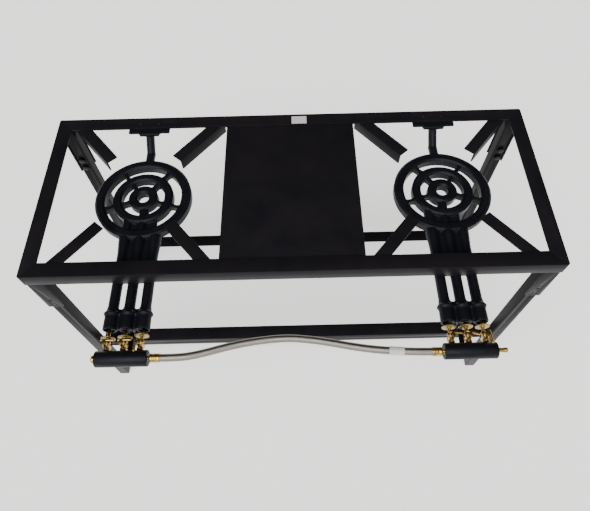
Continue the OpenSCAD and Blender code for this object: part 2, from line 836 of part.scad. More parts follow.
manifold(-1);  // left_manifold
manifold(1);  // right_manifold
strap(-1);  // left_strap
strap(1);  // right_strap
strap_screws();
tap_bodies(-1);  // left_tap_bodies
tap_bodies(1);  // right_tap_bodies
tap_lever(-1, -1);  // left_lever_outer
tap_lever(-1, 0);  // left_lever_middle
tap_lever(-1, 1);  // left_lever_inner
tap_lever(1, -1);  // right_lever_inner
tap_lever(1, 0);  // right_lever_middle
tap_lever(1, 1);  // right_lever_outer
jets(-1);  // left_jets
jets(1);  // right_jets
air_shutter(-1, -1);  // left_shutter_outer
air_shutter(-1, 0);  // left_shutter_middle
air_shutter(-1, 1);  // left_shutter_inner
air_shutter(1, -1);  // right_shutter_inner
air_shutter(1, 0);  // right_shutter_middle
air_shutter(1, 1);  // right_shutter_outer
end_plug();
hose_ferrule(-1);  // left_hose_ferrule
hose_ferrule(1);  // right_hose_ferrule
inlet_barb();
braided_hose();
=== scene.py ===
import bmesh
import bpy
import json
import math
from mathutils import Matrix, Vector


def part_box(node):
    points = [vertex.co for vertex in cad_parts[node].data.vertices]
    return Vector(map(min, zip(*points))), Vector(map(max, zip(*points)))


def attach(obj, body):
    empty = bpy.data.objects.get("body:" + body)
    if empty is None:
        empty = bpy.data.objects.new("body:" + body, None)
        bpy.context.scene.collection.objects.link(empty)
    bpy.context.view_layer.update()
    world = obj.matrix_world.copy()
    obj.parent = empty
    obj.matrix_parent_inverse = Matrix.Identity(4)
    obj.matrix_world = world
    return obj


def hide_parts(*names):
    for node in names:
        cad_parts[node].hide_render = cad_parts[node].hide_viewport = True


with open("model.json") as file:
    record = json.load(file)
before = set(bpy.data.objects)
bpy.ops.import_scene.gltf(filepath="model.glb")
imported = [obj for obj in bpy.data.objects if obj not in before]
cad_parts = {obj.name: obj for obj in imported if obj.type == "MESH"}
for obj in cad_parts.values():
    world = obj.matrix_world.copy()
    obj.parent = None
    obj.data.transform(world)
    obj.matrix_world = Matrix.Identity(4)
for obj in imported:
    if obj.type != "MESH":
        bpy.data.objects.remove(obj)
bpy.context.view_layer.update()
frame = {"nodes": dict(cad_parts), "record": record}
print("frame loaded,", len(frame["nodes"]), "nodes")

mm = 0.001
standBody = "stand"


def boxOf(node):
    low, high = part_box(node)
    return Vector(low), Vector(high)


frontLow, frontHigh = boxOf("front_rail")
frameFront, frameTop = frontLow.y, frontHigh.z
frameBack = boxOf("back_rail")[1].y
frameMiddle = (frameFront + frameBack) / 2


# ---- camera ----

view = {
    "place": (0.0099, frameFront - 0.4414, 1.4105),
    "yaw": -0.5738,     # degrees, to the right of +Y
    "down": 59.9806,    # degrees below level
    "roll": -1.8706,
    "lens": 31.56,      # mm on a 36 mm sensor
}


def aimCamera():
    yaw, down, roll = (math.radians(view[key]) for key in ("yaw", "down", "roll"))
    forward = Vector((math.sin(yaw) * math.cos(down),
                      math.cos(yaw) * math.cos(down),
                      -math.sin(down)))
    right = Vector((math.cos(yaw), -math.sin(yaw), 0))
    upward = right.cross(forward)
    across = math.cos(roll) * right + math.sin(roll) * upward
    top = -math.sin(roll) * right + math.cos(roll) * upward
    data = bpy.data.cameras.new("frontCamera")
    data.lens = view["lens"]
    data.sensor_width = 36
    data.clip_start = 0.01
    camera = bpy.data.objects.new("frontCamera", data)
    turned = Matrix((across, top, -forward)).transposed().to_4x4()
    camera.matrix_world = Matrix.Translation(view["place"]) @ turned
    bpy.context.collection.objects.link(camera)
    bpy.context.scene.camera = camera


aimCamera()
print("camera placed")


# ---- shader helpers ----

def toLinear(hexColour):
    channels = [int(hexColour[i:i + 2], 16) / 255 for i in (1, 3, 5)]
    return [c / 12.92 if c <= 0.04045 else ((c + 0.055) / 1.055) ** 2.4 for c in channels] + [1.0]


def addNode(tree, kind, settings=None, links=None):
    node = tree.nodes.new(kind)
    for key, value in (settings or {}).items():
        if isinstance(key, int) or key in node.inputs:
            node.inputs[key].default_value = value
        else:
            setattr(node, key, value)
    for key, socket in (links or {}).items():
        tree.links.new(socket, node.inputs[key])
    return node


def startMaterial(name, shaderSettings):
    material = bpy.data.materials.new(name)
    material.use_nodes = True
    tree = material.node_tree
    tree.nodes.clear()
    shader = addNode(tree, "ShaderNodeBsdfPrincipled", shaderSettings)
    addNode(tree, "ShaderNodeOutputMaterial", links={"Surface": shader.outputs["BSDF"]})
    return material, tree, shader


def objectPlace(tree):
    return addNode(tree, "ShaderNodeTexCoord").outputs["Object"]


def addRamp(tree, factor, stops):
    ramp = addNode(tree, "ShaderNodeValToRGB", links={"Fac": factor})
    elements = ramp.color_ramp.elements
    while len(elements) < len(stops):
        elements.new(0.5)
    for element, (position, value) in zip(elements, stops):
        element.position = position
        element.color = toLinear(value) if isinstance(value, str) else (value, value, value, 1)
    return ramp.outputs["Color"]


bandsPerUnit = 0.314   # a wave texture of this scale has one band in each unit of length


def edgeMask(tree, width, low, high):
    # how far the rounded normal leans from the true one: high only along an edge
    rounded = addNode(tree, "ShaderNodeBevel", {"samples": 4, "Radius": width})
    true = addNode(tree, "ShaderNodeNewGeometry")
    match = addNode(tree, "ShaderNodeVectorMath", {"operation": "DOT_PRODUCT"},
                    {0: rounded.outputs["Normal"], 1: true.outputs["Normal"]})
    return addNode(tree, "ShaderNodeMapRange", {"From Min": high, "From Max": low},
                   {"Value": match.outputs["Value"]}).outputs["Result"]


# ---- materials ----

# Sprayed gloss alkyd paint on rolled mild steel: near-black with a faint violet cast, a fine
# orange peel that breaks up reflections, a little dust, and grey primer showing at the edges.
paintLook = {
    "colour": "#18171b", "patch": "#1f1c1e", "dust": "#403d3b", "primer": "#3a393a",
    "peel": 2.4, "patchSize": 70, "dustSpacing": 26,   # mm
}


def sprayedPaint(name="sprayedBlackPaint", look=paintLook, roughLow=0.28, roughHigh=0.42):
    material, tree, shader = startMaterial(name, {"IOR": 1.5, "Metallic": 0.0,
                                                  "Specular IOR Level": 0.06})
    place = objectPlace(tree)
    peel = addNode(tree, "ShaderNodeTexNoise", {"Scale": 1 / (look["peel"] * mm), "Detail": 2.0},
                   {"Vector": place})
    patch = addNode(tree, "ShaderNodeTexNoise",
                    {"Scale": 1 / (look["patchSize"] * mm), "Detail": 6.0, "Roughness": 0.6},
                    {"Vector": place})
    speck = addNode(tree, "ShaderNodeTexVoronoi", {"Scale": 1 / (look["dustSpacing"] * mm)},
                    {"Vector": place})
    speckMask = addRamp(tree, speck.outputs["Distance"], [(0.0, 0.55), (0.035, 0.0)])
    wornEdge = edgeMask(tree, 1.2 * mm, 0.80, 0.97)
    wornPatch = addRamp(tree, patch.outputs["Fac"], [(0.52, 0.0), (0.66, 0.55)])
    worn = addNode(tree, "ShaderNodeMath", {"operation": "MULTIPLY"}, {0: wornEdge, 1: wornPatch})
    ground = addRamp(tree, patch.outputs["Fac"], [(0.35, look["colour"]), (0.7, look["patch"])])
    dusty = addNode(tree, "ShaderNodeMix", {"data_type": "RGBA", 7: toLinear(look["dust"])},
                    {"Factor": speckMask, 6: ground})
    shown = addNode(tree, "ShaderNodeMix", {"data_type": "RGBA", 7: toLinear(look["primer"])},
                    {"Factor": worn.outputs["Value"], 6: dusty.outputs[2]})
    tree.links.new(shown.outputs[2], shader.inputs["Base Color"])
    rough = addNode(tree, "ShaderNodeMapRange",
                    {"From Min": 0.3, "From Max": 0.7, "To Min": roughLow, "To Max": roughHigh},
                    {"Value": patch.outputs["Fac"]})
    tree.links.new(rough.outputs["Result"], shader.inputs["Roughness"])
    bump = addNode(tree, "ShaderNodeBump", {"Strength": 0.18, "Distance": 0.25 * mm},
                   {"Height": peel.outputs["Fac"]})
    tree.links.new(bump.outputs["Normal"], shader.inputs["Normal"])
    return material


# Sand-cast grey iron dipped in black heat-proof paint: the sand's grain stays in the skin and
# catches small bluish lights, and the high spots are a little rubbed.
castLook = {
    "colour": "#0b0b0e", "high": "#191a20", "rubbed": "#32353b",
    "grain": 1.3, "swell": 9, "patchSize": 45,   # mm
}


def sandCastIron(name="sandCastIron", look=castLook, roughLow=0.36, roughHigh=0.52):
    material, tree, shader = startMaterial(name, {"IOR": 1.5, "Metallic": 0.0,
                                                  "Specular IOR Level": 0.16,
                                                  "Specular Tint": toLinear("#e6edf8")})
    place = objectPlace(tree)
    grain = addNode(tree, "ShaderNodeTexNoise",
                    {"Scale": 1 / (look["grain"] * mm), "Detail": 4.0, "Roughness": 0.65},
                    {"Vector": place})
    swell = addNode(tree, "ShaderNodeTexNoise", {"Scale": 1 / (look["swell"] * mm), "Detail": 3.0},
                    {"Vector": place})
    patch = addNode(tree, "ShaderNodeTexNoise", {"Scale": 1 / (look["patchSize"] * mm), "Detail": 5.0},
                    {"Vector": place})
    height = addNode(tree, "ShaderNodeMath", {"operation": "MULTIPLY_ADD", 1: 1.6},
                     {0: swell.outputs["Fac"], 2: grain.outputs["Fac"]})
    ground = addRamp(tree, grain.outputs["Fac"], [(0.38, look["colour"]), (0.68, look["high"])])
    edge = edgeMask(tree, 1.5 * mm, 0.75, 0.97)
    rubPatch = addRamp(tree, patch.outputs["Fac"], [(0.45, 0.05), (0.62, 0.5)])
    rub = addNode(tree, "ShaderNodeMath", {"operation": "MULTIPLY"}, {0: edge, 1: rubPatch})
    shown = addNode(tree, "ShaderNodeMix", {"data_type": "RGBA", 7: toLinear(look["rubbed"])},
                    {"Factor": rub.outputs["Value"], 6: ground})
    tree.links.new(shown.outputs[2], shader.inputs["Base Color"])
    rough = addNode(tree, "ShaderNodeMapRange",
                    {"From Min": 0.3, "From Max": 0.7, "To Min": roughLow, "To Max": roughHigh},
                    {"Value": patch.outputs["Fac"]})
    tree.links.new(rough.outputs["Result"], shader.inputs["Roughness"])
    bump = addNode(tree, "ShaderNodeBump", {"Strength": 0.55, "Distance": 0.45 * mm},
                   {"Height": height.outputs["Value"]})
    tree.links.new(bump.outputs["Normal"], shader.inputs["Normal"])
    return material


# Free-cutting brass turned from bar: yellow metal with tool rings square to its axis, and a
# browner tarnish in patches. The tool marks are 0.8 mm apart, coarser than real, so they show.
brassLook = {"clean": "#c6a45a", "tarnish": "#86693a", "ringPitch": 0.8, "patchSize": 6}   # mm


def metalRough(tree, shader, factor, low, high):
    rough = addNode(tree, "ShaderNodeMapRange",
                    {"From Min": 0.3, "From Max": 0.7, "To Min": low, "To Max": high},
                    {"Value": factor})
    tree.links.new(rough.outputs["Result"], shader.inputs["Roughness"])


def turnedBrass(name, axis, look=brassLook, roughLow=0.22, roughHigh=0.42):
    material, tree, shader = startMaterial(name, {"Metallic": 1.0})
    place = objectPlace(tree)
    patch = addNode(tree, "ShaderNodeTexNoise", {"Scale": 1 / (look["patchSize"] * mm), "Detail": 5.0},
                    {"Vector": place})
    rings = addNode(tree, "ShaderNodeTexWave",
                    {"bands_direction": axis, "Scale": bandsPerUnit / (look["ringPitch"] * mm),
                     "Distortion": 0.4, "Detail": 1.0}, {"Vector": place})
    colour = addRamp(tree, patch.outputs["Fac"], [(0.40, look["clean"]), (0.72, look["tarnish"])])
    tree.links.new(colour, shader.inputs["Base Color"])
    metalRough(tree, shader, patch.outputs["Fac"], roughLow, roughHigh)
    bump = addNode(tree, "ShaderNodeBump", {"Strength": 0.2, "Distance": 0.06 * mm},
                   {"Height": rings.outputs["Fac"]})
    tree.links.new(bump.outputs["Normal"], shader.inputs["Normal"])
    return material


# Pressed sheet brass, tumbled and dull: pale, with short scratches every way.
sheetBrassLook = {"clean": "#ab9a62", "dull": "#7d6d42", "scratch": 0.9, "patchSize": 8}   # mm


def tumbledSheetBrass(name="tumbledSheetBrass", look=sheetBrassLook):
    material, tree, shader = startMaterial(name, {"Metallic": 1.0})
    place = objectPlace(tree)
    patch = addNode(tree, "ShaderNodeTexNoise", {"Scale": 1 / (look["patchSize"] * mm), "Detail": 4.0},
                    {"Vector": place})
    scratch = addNode(tree, "ShaderNodeTexNoise",
                      {"Scale": 1 / (look["scratch"] * mm), "Detail": 3.0, "Distortion": 1.5},
                      {"Vector": place})
    colour = addRamp(tree, patch.outputs["Fac"], [(0.38, look["clean"]), (0.72, look["dull"])])
    tree.links.new(colour, shader.inputs["Base Color"])
    metalRough(tree, shader, scratch.outputs["Fac"], 0.30, 0.52)
    bump = addNode(tree, "ShaderNodeBump", {"Strength": 0.25, "Distance": 0.05 * mm},
                   {"Height": scratch.outputs["Fac"]})
    tree.links.new(bump.outputs["Normal"], shader.inputs["Normal"])
    return material


# Zinc-plated steel under a black passivate: dark metal, brighter where a spanner has been.
boltLook = {"dark": "#1c1d20", "worn": "#2c2d30", "bright": "#55565a", "patchSize": 5}   # mm


def blackZinc(name="blackZincSteel", look=boltLook):
    material, tree, shader = startMaterial(name, {"Metallic": 1.0})
    place = objectPlace(tree)
    patch = addNode(tree, "ShaderNodeTexNoise", {"Scale": 1 / (look["patchSize"] * mm), "Detail": 4.0},
                    {"Vector": place})
    edge = edgeMask(tree, 0.7 * mm, 0.78, 0.97)
    ground = addRamp(tree, patch.outputs["Fac"], [(0.35, look["dark"]), (0.75, look["worn"])])
    shown = addNode(tree, "ShaderNodeMix", {"data_type": "RGBA", 7: toLinear(look["bright"])},
                    {"Factor": edge, 6: ground})
    tree.links.new(shown.outputs[2], shader.inputs["Base Color"])
    metalRough(tree, shader, patch.outputs["Fac"], 0.28, 0.46)
    bump = addNode(tree, "ShaderNodeBump", {"Strength": 0.15, "Distance": 0.08 * mm},
                   {"Height": patch.outputs["Fac"]})
    tree.links.new(bump.outputs["Normal"], shader.inputs["Normal"])
    return material


# Woven stainless wire over rubber: the wire's own colour on the crowns of the weave, with painted shade
# turning it brown-grey down into its hollows. The wires lie 0.5 mm apart along each strand and run the
# way the strand does.
# hollow is the painted shade for the weave's hollows, bright the wire's own colour
braidLook = {"bright": "#938d86", "hollow": "#1f1b18", "wires": 5}


def wovenWire(name="wovenStainlessWire", look=braidLook):
    material, tree, shader = startMaterial(name, {"Metallic": 1.0})
    weave = addNode(tree, "ShaderNodeUVMap", {"uv_map": "weave"}).outputs["UV"]
    lift = addNode(tree, "ShaderNodeAttribute", {"attribute_name": "lift"}).outputs["Fac"]
    wires = addNode(tree, "ShaderNodeTexWave",
                    {"bands_direction": "X", "Scale": bandsPerUnit * look["wires"], "Detail": 0.0},
                    {"Vector": weave})
    # painted shade: the colour darkens with the weave's height, from the crowns down into the hollows
    colour = addRamp(tree, lift, [(0.1, look["hollow"]), (0.75, look["bright"])])
    tree.links.new(colour, shader.inputs["Base Color"])
    rough = addNode(tree, "ShaderNodeMapRange", {"To Min": 0.55, "To Max": 0.27}, {"Value": lift})
    tree.links.new(rough.outputs["Result"], shader.inputs["Roughness"])
    bump = addNode(tree, "ShaderNodeBump", {"Strength": 0.5, "Distance": 0.12 * mm},
                   {"Height": wires.outputs["Fac"]})
    tree.links.new(bump.outputs["Normal"], shader.inputs["Normal"])
    return material


# Uncoated white paper label: matt, with a faint fibre.
paperLook = {"low": "#c4c2bd", "high": "#dedcd8", "fibre": 1.5}   # mm


def labelPaper(name="labelPaper", look=paperLook):
    material, tree, shader = startMaterial(name, {"IOR": 1.45})
    fibre = addNode(tree, "ShaderNodeTexNoise", {"Scale": 1 / (look["fibre"] * mm), "Detail": 4.0},
                    {"Vector": objectPlace(tree)})
    colour = addRamp(tree, fibre.outputs["Fac"], [(0.3, look["low"]), (0.7, look["high"])])
    tree.links.new(colour, shader.inputs["Base Color"])
    metalRough(tree, shader, fibre.outputs["Fac"], 0.5, 0.7)
    bump = addNode(tree, "ShaderNodeBump", {"Strength": 0.1, "Distance": 0.05 * mm},
                   {"Height": fibre.outputs["Fac"]})
    tree.links.new(bump.outputs["Normal"], shader.inputs["Normal"])
    return material


paint = sprayedPaint()
iron = sandCastIron()
brassAlongX = turnedBrass("turnedBrassAlongX", "X")
brassAlongY = turnedBrass("turnedBrassAlongY", "Y")
brassAlongZ = turnedBrass("turnedBrassAlongZ", "Z")
sheetBrass = tumbledSheetBrass()
boltSteel = blackZinc()
braidSteel = wovenWire()
paper = labelPaper()
print("materials made")


# ---- mesh helpers ----

def finishPiece(name, bm, material, body=standBody, replacing=(), flatAngle=35):
    mesh = bpy.data.meshes.new(name)
    bm.to_mesh(mesh)
    bm.free()
    piece = bpy.data.objects.new(name, mesh)
    bpy.context.collection.objects.link(piece)
    mesh.materials.append(material)
    smoothPiece(mesh, flatAngle)
    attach(piece, body)
    if replacing:
        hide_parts(*replacing)
    return piece


def smoothPiece(mesh, flatAngle):
    mesh.polygons.foreach_set("use_smooth", [True] * len(mesh.polygons))
    mesh.set_sharp_from_angle(angle=math.radians(flatAngle))


def spinProfile(bm, points, centre, axis, steps, acrossAxis, closed=True):
    # points are (distance from the axis, distance along it); an open outline ends on the axis
    centre, axis, acrossAxis = Vector(centre), Vector(axis), Vector(acrossAxis)
    corners = [bm.verts.new(centre + acrossAxis * r + axis * s) for r, s in points]
    last = len(corners) if closed else len(corners) - 1
    edges = [bm.edges.new((corners[i], corners[(i + 1) % len(corners)])) for i in range(last)]
    before = set(bm.faces)
    bmesh.ops.spin(bm, geom=corners + edges, cent=centre, axis=axis, dvec=(0, 0, 0),
                   angle=2 * math.pi, steps=steps, use_merge=True, use_duplicate=False)
    fresh = [f for f in bm.faces if f not in before]
    bmesh.ops.remove_doubles(bm, verts=list({v for f in fresh for v in f.verts}), dist=1e-6)
    fresh = [f for f in bm.faces if f not in before]
    bmesh.ops.recalc_face_normals(bm, faces=fresh)
    return fresh


def addBlock(bm, low, high):
    size = Vector(high) - Vector(low)
    middle = (Vector(high) + Vector(low)) / 2
    place = Matrix.Translation(middle) @ Matrix.Diagonal((*size, 1))
    return bmesh.ops.create_cube(bm, size=1.0, matrix=place)["verts"]


def addRod(bm, start, end, radius):
    start, end = Vector(start), Vector(end)
    run = end - start
    place = Matrix.Translation((start + end) / 2) @ run.to_track_quat("Z", "Y").to_matrix().to_4x4()
    bmesh.ops.create_cone(bm, cap_ends=True, segments=32, radius1=radius, radius2=radius,
                          depth=run.length, matrix=place)


def softenedNode(node, width, material, segments=2, sharp=30, body=standBody, flatAngle=35):
    # a copy of a CAD node with its edges rounded, as rolling, casting or tumbling leaves them
    source = frame["nodes"][node]
    bm = bmesh.new()
    bm.from_mesh(source.data)
    bmesh.ops.remove_doubles(bm, verts=bm.verts, dist=2e-6)
    bmesh.ops.dissolve_limit(bm, angle_limit=math.radians(0.6), verts=bm.verts, edges=bm.edges,
                             use_dissolve_boundaries=False)
    edges = [e for e in bm.edges if len(e.link_faces) == 2
             and e.calc_face_angle(0) > math.radians(sharp)]
    bmesh.ops.bevel(bm, geom=edges, offset=width, offset_type="OFFSET", affect="EDGES",
                    segments=segments, profile=0.5, clamp_overlap=True, material=-1)
    if node == "back_rail":
        cutLabel(bm)
    piece = finishPiece(node + "Shown", bm, material, body, (node,), flatAngle)
    if node == "back_rail":
        piece.data.materials.append(paper)


slotOf = {row["node"]: row["material_slot"] for row in frame["record"]["subparts"]}
bodyOf = {node: body for body, nodes in frame["record"]["behaviour"]["bodies"].items()
          for node in nodes}


# ---- hose ----

hose = {
    "diameter": 14.0, "braidLead": 44.0, "strands": 12, "relief": 0.45,   # mm
    "sides": 84, "ringPitch": 0.8,
    # X from midway between the burners, then Y and Z from the manifolds' axis, in mm
    "route": [(-238, 0, 0), (-217, 0, 0), (-190, 2, -1), (-160, 9, -4), (-125, 19, -7),
              (-90, 27, -9), (-50, 33, -11), (-10, 35, -12), (30, 31, -12), (65, 24, -10),
              (100, 16, -8), (135, 9, -5), (170, 4, -2), (206, 1, 0), (238, 0, 0)],
    "shift": 2.5,       # mm, of the whole gas line towards the right
}


finePerSpan = 24   # short straight steps between two points of the route


def smoothRoute(points, pitch):
    # even steps along a curve through the points
    ends = [2 * points[0] - points[1]] + points + [2 * points[-1] - points[-2]]
    fine = []
    for i in range(1, len(ends) - 2):
        a, b, c, d = ends[i - 1:i + 3]
        for k in range(finePerSpan):
            t = k / finePerSpan
            fine.append(0.5 * (2 * b + (c - a) * t + (2 * a - 5 * b + 4 * c - d) * t * t
                               + (3 * b - a - 3 * c + d) * t ** 3))
    fine.append(points[-1])
    lengths = [0.0]
    for a, b in zip(fine, fine[1:]):
        lengths.append(lengths[-1] + (b - a).length)
    count = round(lengths[-1] / pitch)
    steps, at = [], 0
    for n in range(count + 1):
        target = lengths[-1] * n / count
        while at < len(fine) - 2 and lengths[at + 1] < target:
            at += 1
        part = (target - lengths[at]) / (lengths[at + 1] - lengths[at])
        steps.append(fine[at].lerp(fine[at + 1], part))
    return steps, lengths[-1]


def strandLift(around, along):
    # height of the weave from 0 to 1, and which way the strand on top runs
    a = around + along
    b = around - along
    overA = (math.floor(a) + math.floor(b)) % 2 == 0
    phase = (a if overA else b) % 1.0
    return max(0.0, math.sin(math.pi * phase)) ** 0.6, overA


def makeHose():
    ferruleLow, ferruleHigh = boxOf("left_hose_ferrule")
    axis = (ferruleLow + ferruleHigh) / 2
    points = [Vector(((x + hose["shift"]) * mm, axis.y + y * mm, axis.z + z * mm))
              for x, y, z in hose["route"]]
    steps, length = smoothRoute(points, hose["ringPitch"] * mm)
    radius, sides, rows = hose["diameter"] * mm / 2, hose["sides"], len(steps) - 1
    strandsPerRow = hose["ringPitch"] / hose["braidLead"] * hose["strands"]
    strandsPerSide = hose["strands"] / sides
    bm = bmesh.new()
    weave = bm.loops.layers.uv.new("weave")
    lift = bm.verts.layers.float.new("lift")
    bmesh.ops.create_grid(bm, x_segments=rows, y_segments=sides, size=0.5)
    for face in bm.faces:
        middle = face.calc_center_median()
        _, overA = strandLift((middle.y + 0.5) * hose["strands"],
                              (middle.x + 0.5) * rows * strandsPerRow)
        for loop in face.loops:
            around = (loop.vert.co.y + 0.5) * hose["strands"]
            along = (loop.vert.co.x + 0.5) * rows * strandsPerRow
            a, b = around + along, around - along
            loop[weave].uv = (a, b) if overA else (b, a)
    for vert in bm.verts:
        row, side = round((vert.co.x + 0.5) * rows), round((vert.co.y + 0.5) * sides)
        ahead = steps[min(row + 1, rows)] - steps[max(row - 1, 0)]
        ahead = Vector((1, 0, 0)) if row in (0, rows) else ahead.normalized()
        flat = Vector((0, 0, 1)).cross(ahead).normalized()
        turn = 2 * math.pi * side / sides
        height, _ = strandLift(side % sides * strandsPerSide, row * strandsPerRow)
        out = radius - hose["relief"] * mm * (1 - height)
        vert[lift] = height
        vert.co = steps[row] + out * (math.cos(turn) * flat + math.sin(turn) * ahead.cross(flat))
    bmesh.ops.remove_doubles(bm, verts=bm.verts, dist=1e-6)
    bmesh.ops.holes_fill(bm, edges=[e for e in bm.edges if e.is_boundary], sides=0)
    bmesh.ops.recalc_face_normals(bm, faces=bm.faces)
    piece = finishPiece("braidedHoseShown", bm, braidSteel,
                        replacing=("braided_hose",), flatAngle=80)
    print("hose", round(length * 1000), "mm long,", len(steps), "rings")
    return steps


hoseSteps = makeHose()


# a blank tape tag wrapped once round the hose, its ends pressed together into a short tail
tapeTag = {
    "from": 167.0, "to": 193.0, "lift": 0.25, "tail": 7.0, "thick": 0.5,   # mm
    "seam": -70, "wrap": 0.985, "tailPart": 0.03, "sides": 40,   # degrees, then shares of a turn
}


def makeTapeTag():
    along = [p for p in hoseSteps if tapeTag["from"] * mm <= p.x <= tapeTag["to"] * mm]
    radius = (hose["diameter"] / 2 + tapeTag["lift"]) * mm
    rows, sides = len(along) - 1, tapeTag["sides"]
    bm = bmesh.new()
    bmesh.ops.create_grid(bm, x_segments=rows, y_segments=sides, size=0.5)
    for vert in bm.verts:
        row, part = round((vert.co.x + 0.5) * rows), vert.co.y + 0.5
        ahead = (along[min(row + 1, rows)] - along[max(row - 1, 0)]).normalized()
        flat = Vector((0, 0, 1)).cross(ahead).normalized()
        turn = math.radians(tapeTag["seam"]) - part * 2 * math.pi * tapeTag["wrap"]
        tailShare = (abs(part - 0.5) - 0.5) / tapeTag["tailPart"] + 1
        reach = radius + tapeTag["tail"] * mm * max(0.0, tailShare)
        vert.co = along[row] + reach * (math.cos(turn) * flat + math.sin(turn) * ahead.cross(flat))
    bmesh.ops.recalc_face_normals(bm, faces=bm.faces)
    bmesh.ops.solidify(bm, geom=bm.faces[:], thickness=-tapeTag["thick"] * mm)
    bmesh.ops.recalc_face_normals(bm, faces=bm.faces)
    finishPiece("hoseTapeTag", bm, paper, flatAngle=50)


makeTapeTag()


# ---- burners ----

burnerShape = {
    # mm; X and Y from the middle of the rings, heights from the top of the rings
    "ringTop": -38.0, "ringHeight": 20.0, "ringSetBack": 9.5, "ringShift": 4.0,
    "rings": [(99.0, 79.0), (62.0, 44.0), (30.0, 12.0)], "slant": 4.0, "slantDrop": 3.4,
    "webTurns": (54, 126, 198, 342), "webWaist": 6.6, "webRoot": 15.0, "webDrop": 3.0,
    "tubePitch": 30.0, "tubeDrop": 50.0, "tubeWidth": 20.0, "mouthBore": 20.0, "innerBore": 13.0,
    "boreLength": 46.0,
    "collarWidth": 26.0, "collarLength": 32.0, "beadWidth": 31.0, "flareLength": 45.0,
    "ridgePitch": 4.6, "ridgeHeight": 0.7, "bridge": 8.0, "bridgeFront": 11.0, "webReach": 38.0,
    "stemWidth": 19.0, "hangerWidth": 88.0, "hangerThick": 5.0, "coreWidth": 56.0, "coreThick": 8.0,
    "hangerFront": 40.0, "coreFront": 45.0, "chamfer": 7.0, "railSize": 30.0, "railThick": 3.0,
    "lug": (10.5, 17.5, 22.0), "strapShift": 5.5, "skin": 0.8, "voxel": 1.5,
    "webLap": 3.0, "rootLap": 8.0, "stemLap": 8.0, "kinkReach": 20.0, "kinkRise": 4.0, "tipDrop": 7.0,
}
portLook = {"rows": [(0, 84, 0, 0), (0, 84, 1, 1), (1, 52, 0, 0), (1, 52, 1, 1), (2, 22, 0, 0)],
            "width": 2.7, "depth": 3.2}   # ring, ports in a row, band, stagger


def ringOutline(ring, skin=0.0):
    outer, inner = burnerShape["rings"][ring]
    slant, drop, height = burnerShape["slant"], burnerShape["slantDrop"], burnerShape["ringHeight"]
    points = [(outer - slant, 0.0), (outer, -drop), (outer, -height + 1.5), (outer - 1.5, -height),
              (inner + 1.5, -height), (inner, -height + 1.5), (inner, -drop), (inner + slant, 0.0)]
    middle = (outer + inner) / 2
    shrunk = [(r - skin if r > middle else r + skin, s - skin if s > -height / 2 else s + skin)
              for r, s in points]
    return [(r * mm, s * mm) for r, s in shrunk]


def addPortedRing(bm, ring, centre):
    # the slanted outer band and the top each carry a row of drilled ports, half a step apart
    rows = [row for row in portLook["rows"] if row[0] == ring]
    count = rows[0][1]
    fresh = spinProfile(bm, ringOutline(ring), centre, (0, 0, 1), count * 2, (1, 0, 0))
    bands = {0: [], 1: []}
    for face in fresh:
        middle = face.calc_center_median() - centre
        reach = math.hypot(middle.x, middle.y) / mm
        outer, inner = burnerShape["rings"][ring]
        if middle.z > -burnerShape["slantDrop"] * mm * 0.9 and reach > (outer + inner) / 2 - 1:
            bands[0 if middle.z < -0.2 * mm else 1].append(face)
    chosen = []
    for _, _, band, stagger in rows:
        for face in bands[band]:
            middle = face.calc_center_median() - centre
            column = math.floor((math.atan2(middle.y, middle.x) / (2 * math.pi)) * count * 2 + 0.01)
            if column % 2 == stagger:
                chosen.append(face)
    drillPorts(bm, chosen, bm.faces.layers.int.get("port"))


def drillPorts(bm, faces, mark):
    # round a hole inside each face, then sink it
    for face in faces:
        normal, middle = face.normal.copy(), face.calc_center_median()
        bmesh.ops.inset_individual(bm, faces=[face], thickness=0.35 * mm, depth=0)
        across = (face.verts[1].co - face.verts[0].co).normalized()
        along = normal.cross(across)
        for vert in face.verts:
            lean = vert.co - middle
            side = 0.5 * portLook["width"] * mm
            vert.co = middle + across * math.copysign(side, lean.dot(across)) \
                + along * math.copysign(side, lean.dot(along))
        face[mark] = 1
    holes = [f for f in bm.faces if f[mark] == 1]
    corners = list({v for f in holes for v in f.verts})
    bmesh.ops.bevel(bm, geom=corners, offset=0.8 * mm, offset_type="OFFSET", affect="VERTICES",
                    segments=1, profile=0.5, clamp_overlap=True, material=-1)
    holes = [f for f in bm.faces if f[mark] == 1 and len(f.verts) >= 8]
    for face in bm.faces:
        face[mark] = 0
    bmesh.ops.inset_individual(bm, faces=holes, thickness=0.05 * mm, depth=-portLook["depth"] * mm)


def addWeb(bm, centre, turn, start, end):
    # a spoke with a narrow waist and wide roots, so the slots beside it have round ends
    height = burnerShape["ringHeight"] - burnerShape["webDrop"]
    place = Matrix.Translation(centre) @ Matrix.Rotation(math.radians(turn), 4, "Z")
    made = bmesh.ops.create_cube(bm, size=1.0)["verts"]
    lengthways = [e for v in made for e in v.link_edges
                  if abs((e.verts[0].co - e.verts[1].co).x) > 0.5]
    bmesh.ops.subdivide_edges(bm, edges=list(set(lengthways)), cuts=9)
    verts = [v for v in bm.verts if v.is_valid and abs(v.co.x) <= 0.5 and abs(v.co.y) == 0.5
             and abs(v.co.z) == 0.5]
    for vert in verts:
        swell = (2 * abs(vert.co.x)) ** 2.6
        width = burnerShape["webWaist"] + (burnerShape["webRoot"] - burnerShape["webWaist"]) * swell
        along = start + (vert.co.x + 0.5) * (end - start)
        up = -burnerShape["ringHeight"] + 0.5 + (vert.co.z + 0.5) * (height - 0.5)
        vert.co = place @ Vector((along * mm, vert.co.y * width * mm, up * mm))


